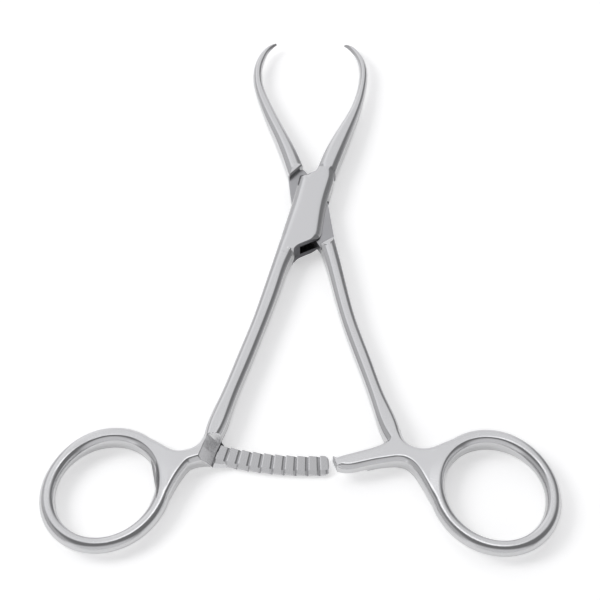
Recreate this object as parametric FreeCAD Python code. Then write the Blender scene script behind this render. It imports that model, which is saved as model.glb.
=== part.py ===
import FreeCAD, Part
import math
import os

from FreeCAD import Vector

# Bone reduction forceps, 140 mm class, modelled in the open pose.
# X runs to the right, +Y towards the jaw tips and +Z towards the viewer.
# The origin lies on the pivot axis, in the flat rear facet of the box lock.
# Lengths are millimetres and angles degrees. Angles about the pivot start at -Y and grow towards +X.

# Reach from the pivot axis: up to the jaw tips, and down and sideways to the ring centres
jaw_length = 49.4
handle_length = 71.35
female_ring_side = 39.3
male_ring_side = 36.95

# Thickness levels
box_thickness = 5.0
tongue_thickness = 2.0
slot_clearance = 0.1
neck_thickness = 4.4
ring_thickness = 3.2
middle = box_thickness / 2

# Pivot
pin_radius = 1.6
pin_running_clearance = 0.05
closing_travel = 17.0

# Box lock of the female arm: outline at the parting line, and how far its faces stand inside it
cheek_outline = [
    (-2.25, 8.0), (-3.9, 0.0), (-6.2, -9.5), (-7.4, -14.2), (-3.8, -14.9), (-2.9, -12.3), (-0.3, -10.9),
    (2.0, -9.8), (2.5, -8.6), (3.45, -0.4), (5.35, 7.6), (5.95, 10.0), (1.9, 9.5), (1.4, 8.6),
]
cheek_face_inset = [
    (0.8, -0.1), (1.1, 0.0), (1.25, 0.0), (1.2, 0.1), (-0.5, 0.2), (0.0, 0.0), (0.0, 0.0),
    (-0.4, -0.1), (-0.75, 0.0), (-0.8, -0.2), (-0.8, -0.2), (-0.8, 0.0), (0.0, 0.0), (0.0, 0.0),
]

# The slot leaves the female arm solid above the upper point and below the lower one
slot_wall_top = (1.75, 10.6)
slot_wall_bottom = (-2.05, -12.6)
slot_wall_waist = (3.5, 2.4)
slot_wall_flare = (9.0, 4.0)

# Tongue of the male arm, and the lines where its jaw and its shank step up to full thickness
tongue_outline = [
    (-4.9, 8.15), (-3.95, 0.0), (-3.4, -1.5), (2.4, -11.9), (5.6, -11.0),
    (5.2, -8.6), (3.95, 0.0), (3.4, 1.5), (-1.4, 9.8), (-3.9, 9.6),
]
upper_shoulder = [(-4.89, 7.15), (-1.95, 10.5)]
lower_shoulder = [(2.4, -11.3), (5.6, -9.6)]

# Jaws: stations from the tip down, as x, share of the jaw length and half width
female_jaw = [
    (7.5, 0.999, 0.3), (8.7, 0.987, 0.62), (9.9, 0.959, 0.78), (10.85, 0.922, 0.86), (11.6, 0.874, 0.92),
    (11.95, 0.81, 0.95), (11.6, 0.721, 1.02), (10.55, 0.611, 1.18), (9.0, 0.51, 1.45), (7.1, 0.407, 1.82),
    (5.4, 0.312, 2.05), (4.05, 0.227, 2.1), (2.9, 0.142, 2.1),
]
male_jaw = [
    (-8.5, 1.002, 0.3), (-9.6, 0.989, 0.62), (-10.8, 0.959, 0.8), (-11.7, 0.915, 0.92), (-12.35, 0.862, 0.98),
    (-12.6, 0.802, 1.04), (-12.15, 0.721, 1.14), (-10.65, 0.615, 1.3), (-8.95, 0.518, 1.42),
    (-6.95, 0.413, 1.54), (-5.05, 0.308, 1.72), (-3.7, 0.221, 1.84), (-2.5, 0.134, 1.9),
]
jaw_thickness_tip = 0.6
jaw_thickness_bow = 2.1
jaw_thickness_base = 4.9

# Shares of the way down a jaw between which it thickens, and between which it turns from round to flat-faced
tip_span = (0.0, 0.2)
swell_span = (0.25, 0.85)
flat_span = (0.4, 0.9)

# Section of a forged bar: exponents of its round and flat-faced forms, and facets across its front
round_fullness = 2.0
round_power = 2.0
flat_fullness = 4.0
flat_power = 1.0
section_steps = 10

# Shanks: upper end, lower end seen from the ring centre, and stations as share of the way down,
# bow to the right of the straight line and half width
female_shank_top = (-4.5, -10.4)
female_shank_end = (18.7, 8.75)
female_shank = [
    (0.0, 0.0, 1.85), (0.099, 0.15, 1.76), (0.201, 0.35, 1.7), (0.398, 0.69, 1.62),
    (0.592, 0.71, 1.64), (0.78, 0.68, 1.7), (0.92, 0.64, 1.95), (1.0, 0.0, 2.1),
]
male_shank_top = (3.6, -9.6)
male_shank_end = (-18.05, 8.95)
male_shank = [
    (0.0, 0.0, 1.75), (0.112, -0.28, 1.6), (0.211, -0.65, 1.55), (0.404, -1.24, 1.5),
    (0.595, -1.09, 1.52), (0.781, -0.99, 1.62), (0.924, -0.67, 1.95), (1.0, 0.0, 2.1),
]
shank_thickness_top = 4.8
shank_thickness_middle = 3.8
shank_fullness = 5.0
waist_span = (0.0, 0.45)
neck_span = (0.6, 1.0)
shank_sink = 0.1

# Finger rings: oval centre line of the rounded bar
ring_half_length = 12.5
ring_half_width = 11.0
ring_bar_half_width = 1.6
ring_fullness = 3.0
female_ring_centre = (-female_ring_side, -handle_length)
male_ring_centre = (male_ring_side, -handle_length)

# Necks between shank and ring, seen from the ring centre: edge towards the shank, edge towards the ratchet
female_neck_upper = [(19.4, 13.45), (18.2, 10.75), (16.1, 8.75), (13.2, 8.5), (10.0, 9.85), (7.5, 10.95)]
female_neck_lower = [(23.6, 6.45), (20.6, 6.65), (18.0, 6.4), (16.0, 5.35), (14.2, 2.45), (10.7, -5.05)]
male_neck_upper = [(-19.0, 13.75), (-17.85, 11.05), (-15.95, 9.35), (-13.05, 9.1), (-9.65, 10.35), (-7.15, 11.35)]
male_neck_lower = [(-19.75, 7.15), (-17.95, 6.85), (-16.25, 5.75), (-14.65, 3.05), (-13.05, -0.45), (-10.95, -4.65)]
neck_edge = 0.55

# Ratchet: both bars are arcs about the pivot, and their inner edge stands above the ring centres
bar_rise = 8.55
bar_width = 3.6
bar_inner = handle_length - bar_rise
bar_outer = bar_inner + bar_width
tooth_pitch = 2.05
tooth_height = 0.6
tooth_count_female = 10
tooth_count_male = 3
ratchet_gap = 0.2
ratchet_drop = 0.7
ratchet_plane = middle - ratchet_drop
bar_overrun = 0.6
ramp_angle = 2.2
bar_corner = 0.7
bar_tip_radius = 0.8
pawl_tip_radius = 0.5

# First tooth of the long bar, tip of the short bar and outlines of the short bar, seen from the ring centres
female_teeth_start = (22.2, 10.92)
male_teeth_start = (-32.24, 7.05)
male_bar_front = [(-31.65, 7.0), (-30.85, 5.15), (-19.35, 7.95), (-19.75, 10.95)]
male_bar_parting = [(-31.95, 7.05), (-30.95, 4.35), (-19.35, 6.45), (-19.75, 10.95)]

# Cutting bodies reach this far past what they cut
cutter_margin = 1.0


def point(plan, height):
    return Vector(plan[0], plan[1], height)


def shifted(points, origin):
    """Plan points that are given from an origin, as plan points from the pivot."""
    return [(origin[0] + x, origin[1] + y) for x, y in points]


def angle_of(plan):
    """Angle of a plan point about the pivot."""
    return math.degrees(math.atan2(plan[0], -plan[1]))


def polar(radius, degrees, height):
    turn = math.radians(degrees)
    return Vector(radius * math.sin(turn), -radius * math.cos(turn), height)


female_first_tooth = angle_of(shifted([female_teeth_start], female_ring_centre)[0])
female_bar_end = female_first_tooth + tooth_count_female * tooth_pitch - bar_overrun
male_first_tooth = angle_of(shifted([male_teeth_start], male_ring_centre)[0])


def polygon_face(points):
    return Part.Face(Part.makePolygon(points + [points[0]]))


def plate(outline, low, high):
    face = polygon_face([point(p, low) for p in outline])
    return face.extrude(Vector(0, 0, high - low))


def curve_edge(points):
    curve = Part.BSplineCurve()
    curve.interpolate(points)
    return curve.toShape()


def bar_section(centre, heading, half_width, half_thickness, fullness, power):
    """Closed section across a bar, with its parting line at half height.

    At the share u of the half width the surface stands at (1 - |u|^fullness)^(1/power)
    of the half thickness.
    """
    across = Vector(-heading.y, heading.x, 0)
    front = []
    for step in range(section_steps + 1):
        share = math.cos(math.pi * step / section_steps)
        rise = half_thickness * max(0.0, 1 - abs(share) ** fullness) ** (1 / power)
        front.append(point(centre, middle + rise) + across * (half_width * share))
    rear = [Vector(p.x, p.y, 2 * middle - p.z) for p in front[-2:0:-1]]
    return Part.makePolygon(front + rear + front[:1])


def headings(stations):
    """Unit directions of the curve through the stations, taken at each station."""
    path = Part.BSplineCurve()
    path.interpolate([Vector(s[0], s[1], 0) for s in stations])
    result = []
    for station in stations:
        parameter = path.parameter(Vector(station[0], station[1], 0))
        result.append(Vector(*path.tangent(parameter)[0]))
    return result


def tapered_bar(stations, half_thicknesses, fullnesses, powers):
    sections = []
    for station, heading, thick, fullness, power in zip(
            stations, headings(stations), half_thicknesses, fullnesses, powers):
        sections.append(bar_section(station[:2], heading, station[2], thick, fullness, power))
    return Part.makeLoft(sections, True, False)


def blend(low, high, share, span):
    """Smooth change from low to high while the share passes through the span."""
    inside = min(1.0, max(0.0, (share - span[0]) / (span[1] - span[0])))
    smooth = inside * inside * (3 - 2 * inside)
    return low + (high - low) * smooth


def jaw(shape):
    """Curved pointed jaw: round at the tip and flat-faced where it meets the box."""
    tip_share = shape[0][1]
    base_share = shape[-1][1]
    stations = []
    thick = []
    fullnesses = []
    powers = []
    for x, share, half_width in shape:
        down = (tip_share - share) / (tip_share - base_share)
        near_tip = blend(jaw_thickness_tip, jaw_thickness_bow, down, tip_span)
        stations.append((x, share * jaw_length, half_width))
        thick.append(blend(near_tip, jaw_thickness_base, down, swell_span) / 2)
        fullnesses.append(blend(round_fullness, flat_fullness, down, flat_span))
        powers.append(blend(round_power, flat_power, down, flat_span))
    return tapered_bar(stations, thick, fullnesses, powers)


def shank(shape, top, end, ring_centre):
    """Nearly straight bar from the box to the neck, slimmest at its middle."""
    start = point(top, 0)
    finish = point(shifted([end], ring_centre)[0], 0)
    along = finish - start
    right = Vector(-along.y, along.x, 0).normalize()
    stations = []
    thick = []
    for down, bow, half_width in shape:
        centre = start + along * down + right * bow
        waist = blend(shank_thickness_top, shank_thickness_middle, down, waist_span)
        stations.append((centre.x, centre.y, half_width))
        thick.append(blend(waist, neck_thickness - shank_sink, down, neck_span) / 2)
    count = len(stations)
    return tapered_bar(stations, thick, [shank_fullness] * count, [flat_power] * count)


def finger_ring(centre):
    """Oval ring: four bars of the forged section, each revolved about one centre of the oval's arcs."""
    away = Vector(centre[0], centre[1], 0).normalize()
    side = Vector(-away.y, away.x, 0)
    long_side = ring_half_length
    short_side = ring_half_width
    diagonal = math.hypot(long_side, short_side)
    end_radius = diagonal * (diagonal - (long_side - short_side)) / (2 * long_side)
    side_radius = diagonal * (diagonal + (long_side - short_side)) / (2 * short_side)
    end_offset = long_side - end_radius
    side_offset = side_radius - short_side
    end_angle = math.degrees(math.atan2(side_offset, end_offset))
    origin = point(centre, 0)
    ring = None
    for hub, radius, facing, half_angle in (
            (away * end_offset, end_radius, away, end_angle),
            (side * -side_offset, side_radius, side, 90 - end_angle),
            (away * -end_offset, end_radius, away * -1, end_angle),
            (side * side_offset, side_radius, side * -1, 90 - end_angle)):
        hub = origin + hub
        tangent = Vector(-facing.y, facing.x, 0)
        section = Part.Face(bar_section(
            (hub + facing * radius)[:2], tangent, ring_bar_half_width, ring_thickness / 2, ring_fullness, flat_power))
        section.rotate(hub, Vector(0, 0, 1), -half_angle)
        arc = section.revolve(hub, Vector(0, 0, 1), 2 * half_angle)
        ring = arc if ring is None else ring.fuse(arc)
    return ring.removeSplitter()


def finger_opening(centre):
    """Oval prism inside the ring, out to the centre line of its bar."""
    away = Vector(centre[0], centre[1], 0).normalize()
    side = Vector(-away.y, away.x, 0)
    oval = Part.Ellipse(
        point(centre, 0) + away * ring_half_length,
        point(centre, 0) + side * ring_half_width,
        point(centre, 0))
    return Part.Face(Part.Wire(oval.toShape())).extrude(Vector(0, 0, box_thickness))


def neck(centre, upper, lower):
    """Flat web that joins shank, ratchet bar and ring, with eased front and rear edges."""
    low = middle - neck_thickness / 2
    upper_points = [point(p, low) for p in shifted(upper, centre)]
    lower_points = [point(p, low) for p in shifted(lower, centre)]
    ring_side = Part.makeLine(upper_points[-1], lower_points[-1])
    shank_side = Part.makeLine(lower_points[0], upper_points[0])
    outline = Part.Wire([curve_edge(upper_points), ring_side, curve_edge(lower_points).reversed(), shank_side])
    web = Part.Face(outline).extrude(Vector(0, 0, neck_thickness))
    rims = [edge for edge in web.Edges if isinstance(edge.Curve, Part.BSplineCurve)]
    return web.makeChamfer(neck_edge, rims).cut(finger_opening(centre))


def revolved_bar(profile, start, end):
    """Bar about the pivot axis: its section in radius and height, turned from one angle to another."""
    face = polygon_face([polar(radius, start, height) for radius, height in profile])
    return face.revolve(Vector(0, 0, 0), Vector(0, 0, 1), end - start)


def rounded_corners(solid, spots, radius):
    """Rounds the upright edges of a solid that stand at the given plan points."""
    corners = []
    for edge in solid.Edges:
        ends = [vertex.Point for vertex in edge.Vertexes]
        upright = len(ends) == 2 and math.hypot(ends[0].x - ends[1].x, ends[0].y - ends[1].y) < 1e-6
        if upright and any(math.hypot(ends[0].x - x, ends[0].y - y) < 1e-3 for x, y in spots):
            corners.append(edge)
    return solid.makeFillet(radius, corners)


def radial_wedge(profile, inner, outer):
    """Prism along the radius whose section is given in degrees and height."""
    near = Part.makePolygon([polar(inner, a, z) for a, z in profile + profile[:1]])
    far = Part.makePolygon([polar(outer, a, z) for a, z in profile + profile[:1]])
    return Part.makeLoft([near, far], True, True)


def female_ratchet():
    """Long bar whose front face carries saw teeth, each with its steep face to the left."""
    crest = ratchet_plane - ratchet_gap / 2
    root = crest - tooth_height
    rear = middle - neck_thickness / 2
    start = female_first_tooth - 2 * ramp_angle
    profile = [
        (bar_inner, rear), (bar_outer, rear), (bar_outer, root), (bar_outer - bar_corner, crest), (bar_inner, crest),
    ]
    plan = revolved_bar([(bar_inner, rear), (bar_outer, rear), (bar_outer, crest), (bar_inner, crest)], start,
                        female_bar_end)
    ends = [polar(radius, female_bar_end, 0)[:2] for radius in (bar_inner, bar_outer)]
    bar = rounded_corners(plan, ends, bar_tip_radius).common(revolved_bar(profile, start, female_bar_end))
    for tooth in range(tooth_count_female):
        left = female_first_tooth + tooth * tooth_pitch
        right = left + tooth_pitch
        top = crest + cutter_margin
        cut = [(left, crest), (right, root), (right, top), (left, top)]
        bar = bar.cut(radial_wedge(cut, bar_inner - cutter_margin, bar_outer + cutter_margin))
    return bar


def male_ratchet():
    """Short bar with a raised block of teeth on its rear face, each with its steep face to the right."""
    crest = ratchet_plane + ratchet_gap / 2
    base = crest + tooth_height
    front = middle + neck_thickness / 2
    parting_outline = shifted(male_bar_parting, male_ring_centre)
    front_outline = shifted(male_bar_front, male_ring_centre)
    near = Part.makePolygon([point(p, base) for p in parting_outline + parting_outline[:1]])
    far = Part.makePolygon([point(p, front) for p in front_outline + front_outline[:1]])
    bar = Part.makeLoft([near, far], True, True)
    block = plate(parting_outline, crest, base)
    inner = bar_inner - 2 * cutter_margin
    outer = bar_outer + bar_width
    low = crest - cutter_margin
    for tooth in range(tooth_count_male):
        left = male_first_tooth + tooth * tooth_pitch
        right = left + tooth_pitch
        cut = [(left, base), (right, crest), (right, low), (left, low)]
        block = block.cut(radial_wedge(cut, inner, outer))
    end = male_first_tooth + tooth_count_male * tooth_pitch
    beyond = [(inner, low), (outer, low), (outer, base), (inner, base)]
    block = block.cut(revolved_bar(beyond, end, female_bar_end + closing_travel))
    tip = rounded_corners(plate(parting_outline, crest, front), parting_outline[:2], pawl_tip_radius)
    return bar.fuse(block).common(tip)


def slot_cutter():
    """Slot space between the cheeks; both walls open towards the tongue's two ends."""
    half = tongue_thickness / 2 + slot_clearance
    reach = max(abs(y) for x, y in cheek_outline) + cutter_margin
    lower_waist = (-slot_wall_waist[0], -slot_wall_waist[1])
    lower_flare = (-slot_wall_flare[0], -slot_wall_flare[1])
    outline = [
        (slot_wall_top[0], reach), slot_wall_top, slot_wall_waist, slot_wall_flare, (reach, -reach),
        (slot_wall_bottom[0], -reach), slot_wall_bottom, lower_waist, lower_flare, (-reach, reach),
    ]
    return plate(outline, middle - half, middle + half)


def half_plane_block(line, far_side):
    """Block on one side of a shoulder line, larger than an arm, used to trim the full-thickness ends."""
    start = point(line[0], -cutter_margin)
    end = point(line[1], -cutter_margin)
    along = (end - start).normalize()
    reach = along * (jaw_length + handle_length)
    away = Vector(-reach.y, reach.x, 0) * far_side
    face = polygon_face([start - reach, end + reach, end + reach + away, start - reach + away])
    return face.extrude(Vector(0, 0, box_thickness + 2 * cutter_margin))


def cheeks():
    """Block of the box lock: widest at the parting line, with sides that lean in to both flat faces."""
    face_outline = [(x + dx, y + dy) for (x, y), (dx, dy) in zip(cheek_outline, cheek_face_inset)]
    wires = []
    for outline, height in ((face_outline, 0), (cheek_outline, middle), (face_outline, box_thickness)):
        wires.append(Part.makePolygon([point(p, height) for p in outline + outline[:1]]))
    return Part.makeLoft(wires, True, True)


def female_arm():
    body = cheeks()
    for piece in [
            jaw(female_jaw), shank(female_shank, female_shank_top, female_shank_end, female_ring_centre),
            finger_ring(female_ring_centre), neck(female_ring_centre, female_neck_upper, female_neck_lower)]:
        body = body.fuse(piece)
    top = box_thickness + cutter_margin
    front = middle + neck_thickness / 2
    floor = ratchet_plane - ratchet_gap / 2 - tooth_height
    inner = bar_inner - slot_clearance
    outer = bar_outer + bar_width
    start = female_first_tooth
    ramp = [(start - ramp_angle, front), (start, floor), (start, top), (start - ramp_angle, top)]
    body = body.cut(radial_wedge(ramp, inner, outer))
    recess = [(inner, floor), (outer, floor), (outer, top), (inner, top)]
    body = body.cut(revolved_bar(recess, start, female_bar_end))
    body = body.fuse(female_ratchet())
    body = body.cut(slot_cutter())
    pin_hole = Part.makeCylinder(pin_radius, box_thickness)
    return body.cut(pin_hole)


def male_arm():
    upper = jaw(male_jaw).common(half_plane_block(upper_shoulder, 1))
    lower = shank(male_shank, male_shank_top, male_shank_end, male_ring_centre)
    half = tongue_thickness / 2
    body = plate(tongue_outline, middle - half, middle + half)
    for piece in [
            upper, lower.common(half_plane_block(lower_shoulder, -1)), finger_ring(male_ring_centre),
            neck(male_ring_centre, male_neck_upper, male_neck_lower)]:
        body = body.fuse(piece)
    relief_top = ratchet_plane + ratchet_gap / 2
    inner = bar_inner - ratchet_gap
    outer = bar_outer + ratchet_gap
    path = [(inner, -cutter_margin), (outer, -cutter_margin), (outer, relief_top), (inner, relief_top)]
    body = body.cut(revolved_bar(path, male_first_tooth - tooth_pitch, female_bar_end + closing_travel + tooth_pitch))
    body = body.fuse(male_ratchet())
    pin_hole = Part.makeCylinder(pin_radius + pin_running_clearance, box_thickness)
    return body.cut(pin_hole)


def pivot_pin():
    return Part.makeCylinder(pin_radius, box_thickness)


def main():
    os.makedirs("parts", exist_ok=True)
    nodes = {"female_arm": female_arm(), "male_arm": male_arm(), "pivot_pin": pivot_pin()}
    for name, shape in nodes.items():
        shape.exportStep("parts/" + name + ".step")
        print(name, "valid", shape.isValid(), "solids", len(shape.Solids), "volume", round(shape.Volume, 2))


main()
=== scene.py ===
import math

import bpy
import numpy as np
from mathutils import Matrix, Vector


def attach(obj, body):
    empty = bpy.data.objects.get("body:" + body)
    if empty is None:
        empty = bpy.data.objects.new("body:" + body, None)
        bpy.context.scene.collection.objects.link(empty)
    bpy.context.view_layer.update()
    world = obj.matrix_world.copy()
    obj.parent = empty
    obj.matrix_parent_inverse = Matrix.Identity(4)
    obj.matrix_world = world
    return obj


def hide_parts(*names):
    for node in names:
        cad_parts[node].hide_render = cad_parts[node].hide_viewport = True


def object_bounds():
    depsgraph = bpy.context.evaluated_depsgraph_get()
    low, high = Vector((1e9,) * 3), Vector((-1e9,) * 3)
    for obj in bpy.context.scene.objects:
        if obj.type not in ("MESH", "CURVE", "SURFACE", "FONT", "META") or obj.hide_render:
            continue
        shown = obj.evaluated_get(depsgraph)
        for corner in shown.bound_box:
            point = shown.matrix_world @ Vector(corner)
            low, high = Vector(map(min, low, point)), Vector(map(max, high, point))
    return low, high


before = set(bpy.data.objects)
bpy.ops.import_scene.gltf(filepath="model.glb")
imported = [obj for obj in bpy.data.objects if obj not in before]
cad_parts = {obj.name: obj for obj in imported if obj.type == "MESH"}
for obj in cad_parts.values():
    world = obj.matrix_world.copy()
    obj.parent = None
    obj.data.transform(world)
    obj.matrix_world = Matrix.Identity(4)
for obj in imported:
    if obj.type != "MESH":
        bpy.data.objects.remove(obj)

CAD_LOW, CAD_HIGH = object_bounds()

bl_info = {
    "name": "Bone Reduction Forceps",
    "version": (1, 0, 0),
    "blender": (4, 5, 0),
    "location": "View3D > Sidebar > Forceps",
    "description": "Builds polished surfaces, steel finishes and a studio round the forceps model",
    "category": "Object",
}

# Lengths in this file are millimetres until a mesh is made. The plan has its origin on the pivot
# axis, +Y towards the jaw tips; heights in the shape functions are measured from the mid-plane.
MM = 0.001
MIDDLE = (CAD_LOW.z + CAD_HIGH.z) / 2 / MM
BOX_HALF = (CAD_HIGH.z - CAD_LOW.z) / 2 / MM

# Grid points of the forged bars: rows down a bar and columns across it
JAW_ROWS = 220
SHANK_ROWS = 200
NECK_ROWS = 200
RING_ROWS = 240
BAR_COLUMNS = 40
NECK_COLUMNS = 74

# Half thickness down an arm. A jaw grows from the tip to the end of its point over a first share of its
# length, and swells to the box over another. The waist and the neck are each reached from a y on, over a
# length. The bars stay an inset under the box's faces
TIP_HALF = 0.3
POINT_HALF = 1.05
POINT_SHARE = 0.2
SWELL_START = 0.25
SWELL_SHARE = 0.6
WAIST_HALF = 1.9
JAW_ROOT = 7.0
WAIST_RUN = (-11.0, 20.0)
NECK_RUN = (-40.0, 17.0)
FORGED_INSET = 0.03
SHARP_DEGREES = 38.0
SHARP_DEGREES_TEETH = 12.0

# Stations of each bar, from its upper end down: x, y, half width
FEMALE_JAW = [
    (7.5, 49.35, 0.3), (8.7, 48.75, 0.62), (9.9, 47.35, 0.78), (10.85, 45.55, 0.86), (11.6, 43.2, 0.92),
    (11.95, 40.0, 0.95), (11.6, 35.6, 1.02), (10.55, 30.2, 1.18), (9.0, 25.2, 1.45), (7.1, 20.1, 1.82),
    (5.4, 15.4, 2.05), (4.05, 11.2, 2.1), (2.9, 7.0, 2.1),
]
MALE_JAW = [
    (-8.5, 49.5, 0.3), (-9.6, 48.85, 0.62), (-10.8, 47.35, 0.8), (-11.7, 45.2, 0.92), (-12.35, 42.6, 0.98),
    (-12.6, 39.6, 1.04), (-12.15, 35.6, 1.14), (-10.65, 30.4, 1.3), (-8.95, 25.6, 1.42), (-6.95, 20.4, 1.54),
    (-5.05, 15.2, 1.72), (-3.7, 10.9, 1.84), (-2.5, 6.6, 1.9),
]
FEMALE_SHANK = [
    (-4.5, -6.6, 0.9), (-4.6, -10.4, 1.8), (-5.95, -15.6, 1.76), (-7.4, -21.0, 1.7), (-10.25, -31.4, 1.62),
    (-13.35, -41.5, 1.64), (-16.4, -51.3, 1.7), (-18.55, -58.2, 1.8), (-19.9, -62.4, 1.0),
]
MALE_SHANK = [
    (3.6, -9.6, 1.75), (5.05, -15.6, 1.6), (6.2, -20.9, 1.55), (8.6, -31.3, 1.5),
    (11.65, -41.3, 1.52), (14.6, -51.1, 1.62), (16.95, -58.2, 1.8), (18.2, -62.2, 1.0),
]

# Box lock. Corners of the female cheeks: x, y, reach of the rounding, relative size of the rim from that
# corner to the next
CHEEK_OUTLINE = [
    (-2.25, 8.0, 0.4, 1.0), (-3.9, 0.0, 2.0, 1.0), (-6.2, -9.5, 2.0, 1.0), (-6.3, -13.4, 0.3, 0.15),
    (-3.8, -14.6, 0.3, 0.15), (-2.9, -12.3, 1.2, 0.15), (-0.3, -10.9, 0.8, 0.15), (2.0, -9.8, 0.5, 0.9),
    (2.5, -8.6, 0.6, 1.0), (3.45, -0.4, 4.0, 1.0), (5.35, 7.6, 2.0, 1.0), (4.9, 11.2, 0.3, 0.05),
    (2.1, 10.9, 0.3, 0.05), (1.5, 9.4, 0.3, 0.05), (1.2, 8.65, 0.4, 0.05),
    (-0.9, 8.25, 0.2, 1.0),
]
CHEEK_AXIS = [(-4.4, -10.5), (2.6, 6.5)]
CHEEK_LOOPS = 30
CHEEK_REACH = 0.93
CHEEK_CROWDING = 1.3
CHEEK_LIFT = 0.01
SLOT_FRONT = 1.45
SLOT_REAR = -1.1
WALL_OVERLAP = 0.02
UPPER_WALL_CORNER = (3.8, 2.6)
UPPER_WALL_INSIDE = [(1.8, 10.6), (3.5, 2.4)]
LOWER_WALL_CORNER = (-4.0, -2.9)
LOWER_WALL_INSIDE = [(-2.9, -12.4), (-2.05, -11.9), (-3.5, -2.4)]
# Lower mouth of the slot, below this y and between these x, whose cheek faces get dark steel as painted shade
SHADED_MOUTH_TOP = -9.0
SHADED_MOUTH_SIDES = (-4.2, 2.4)
JAW_CUT = [(0.9, 10.75), (6.4, 8.5)]
TONGUE_OUTLINE = [
    (-4.9, 8.15), (-3.95, 0.0), (-3.4, -1.5), (2.4, -11.9), (5.6, -11.0),
    (5.2, -8.6), (3.95, 0.0), (3.4, 1.5), (-1.4, 9.8), (-3.9, 9.6),
]
TONGUE_ROUNDING = 0.4
TONGUE_FRONT = 1.35
TONGUE_REAR = -1.0
UPPER_SHOULDER = [(-4.89, 6.85), (-1.95, 10.2)]
LOWER_SHOULDER = [(2.4, -11.4), (5.6, -9.2)]
SHOULDER_RIM = 0.3
BAR_END_RIM = 0.15
PIN_RADIUS = 1.6
RIVET_INSET = 0.05
RIVET_SIDES = 64

# Rims of the forged parts down the instrument: y, width and drop of the soft roll at the edge of the flat
# front, width and drop of the firmer bevel outside it
RIMS = [
    (-62.0, 1.3, 0.6, 0.85, 0.45), (-58.0, 1.4, 0.5, 0.85, 0.35), (-52.0, 1.65, 0.42, 0.85, 0.27),
    (-25.0, 1.6, 0.42, 0.85, 0.27), (-10.0, 2.2, 0.5, 1.0, 0.3), (0.0, 2.6, 0.54, 1.15, 0.32),
    (8.0, 2.4, 0.5, 1.15, 0.32), (20.0, 1.7, 0.5, 1.0, 0.3), (30.0, 1.2, 0.5, 0.75, 0.25),
    (40.0, 1.0, 0.5, 0.6, 0.2), (49.0, 0.9, 0.42, 0.5, 0.15),
]
RING_RIM = (1.6, 1.05, 0.55, 0.2)
ROLL_POWER = 2.6
BEVEL_POWER = 1.2
EDGE_SETBACK = 0.1
POINTS_AT_ONCE = 3000

# Finger rings and the flat necks between shank, ratchet bar and ring
RING_HALF_LENGTH = 12.5
RING_HALF_WIDTH = 11.0
RING_BAR_HALF = 1.6
RING_HALF_THICKNESS = 1.6
FEMALE_RING_CENTRE = (-39.3, -71.35)
MALE_RING_CENTRE = (36.95, -71.35)
# The arm's thickness and rim turn into the ring's from this far inside the near end of its oval, over a length
RING_BLEND = (1.5, 13.0)
NECK_HALF = 2.2
NECK_SINK = 0.04
NECK_SINK_START = 0.8

# Last row of a neck: shares of the way in from either edge, and how far outside the middle line of the
# ring's bar it ends there
NECK_END_SHARES = [0.0, 0.05, 0.2]
NECK_END_GROWTH = [1.45, 1.1, 0.0]

# Ribs of the necks: a point on the upper edge and its partner on the lower edge, from the ratchet to the ring
FEMALE_NECK = [
    (-14.8, -61.1, -15.75, -65.1), (-16.95, -59.85, -18.35, -65.1), (-18.6, -58.3, -21.0, -65.2),
    (-19.7, -58.4, -21.95, -65.45), (-21.05, -60.4, -22.75, -65.75), (-23.2, -62.3, -23.5, -66.35),
    (-26.1, -62.85, -25.1, -68.9), (-29.3, -61.5, -26.9, -72.8), (-32.8, -60.0, -28.9, -77.2),
]
MALE_NECK = [
    (5.15, -64.35, 6.05, -66.8), (6.3, -63.95, 7.4, -67.05), (10.0, -62.75, 11.1, -66.5),
    (14.3, -61.3, 15.4, -65.5),
    (15.9, -60.3, 17.2, -65.2), (16.9, -58.6, 18.2, -65.1), (18.1, -57.1, 19.1, -65.2),
    (19.3, -59.6, 20.15, -65.7), (21.2, -61.6, 21.35, -66.95), (23.9, -62.1, 22.6, -69.1),
    (27.3, -61.0, 24.3, -72.6), (30.8, -59.6, 26.3, -76.8),
]

# Ratchet: teeth stand at equal angles about the pivot, in degrees from -Y towards +X. Each profile lists
# shares of the pitch and how far the face lies below the crest there, in tooth heights; the male teeth have
# only a share of the height
TOOTH_PITCH = 2.05
TOOTH_HEIGHT = 0.6
FEMALE_TOOTH = ([0.0, 0.09, 0.7, 0.97], [0.1, 0.0, 0.48, 1.0])
MALE_TOOTH = ([0.015, 0.2, 0.91, 1.0], [1.0, 0.7, 0.0, 0.12])
MALE_TOOTH_SHARE = 0.5
TEETH_FEMALE = 10
TEETH_MALE = 3
FEMALE_CREST = -0.8
MALE_CREST = -0.6
FIRST_TOOTH = -16.05
MALE_FIRST_TOOTH = 4.2
RAMP_ANGLE = 2.3
RAMP_FOOT = 0.15
RAMP_SIDE = 3.0
BAR_INNER = 62.55
BAR_OUTER = 66.65
BAR_REAR = -2.35
BAR_OVERRUN = 0.5
BAR_EDGE = 0.5
BAR_TIP = 0.8
BAR_COVER = 6.0
RELIEF_INNER = 62.3
RELIEF_OUTER = 67.1
RELIEF_END = 23.15
RELIEF_SLOPE = 1.6
PAWL_BASE = 0.0
PAWL_DEPTH = 0.8
PAWL_INNER = (64.9, 63.3)
PAWL_OUTER = 67.2
PAWL_EDGE = 0.15
PAWL_SETBACK = 1.15
PAWL_TIP = 1.2

# Camera of the photograph, in millimetres and degrees; its clipping is in metres
CAMERA_TARGET = (-1.85, -24.88)
CAMERA_DISTANCE = 380.0
CAMERA_TILT = 36.0
CAMERA_AZIMUTH = 1.8
CAMERA_ROLL = -1.2
CAMERA_LENS = 108.0
SENSOR_WIDTH = 36.0
CAMERA_CLIP = (0.01, 20.0)

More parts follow.
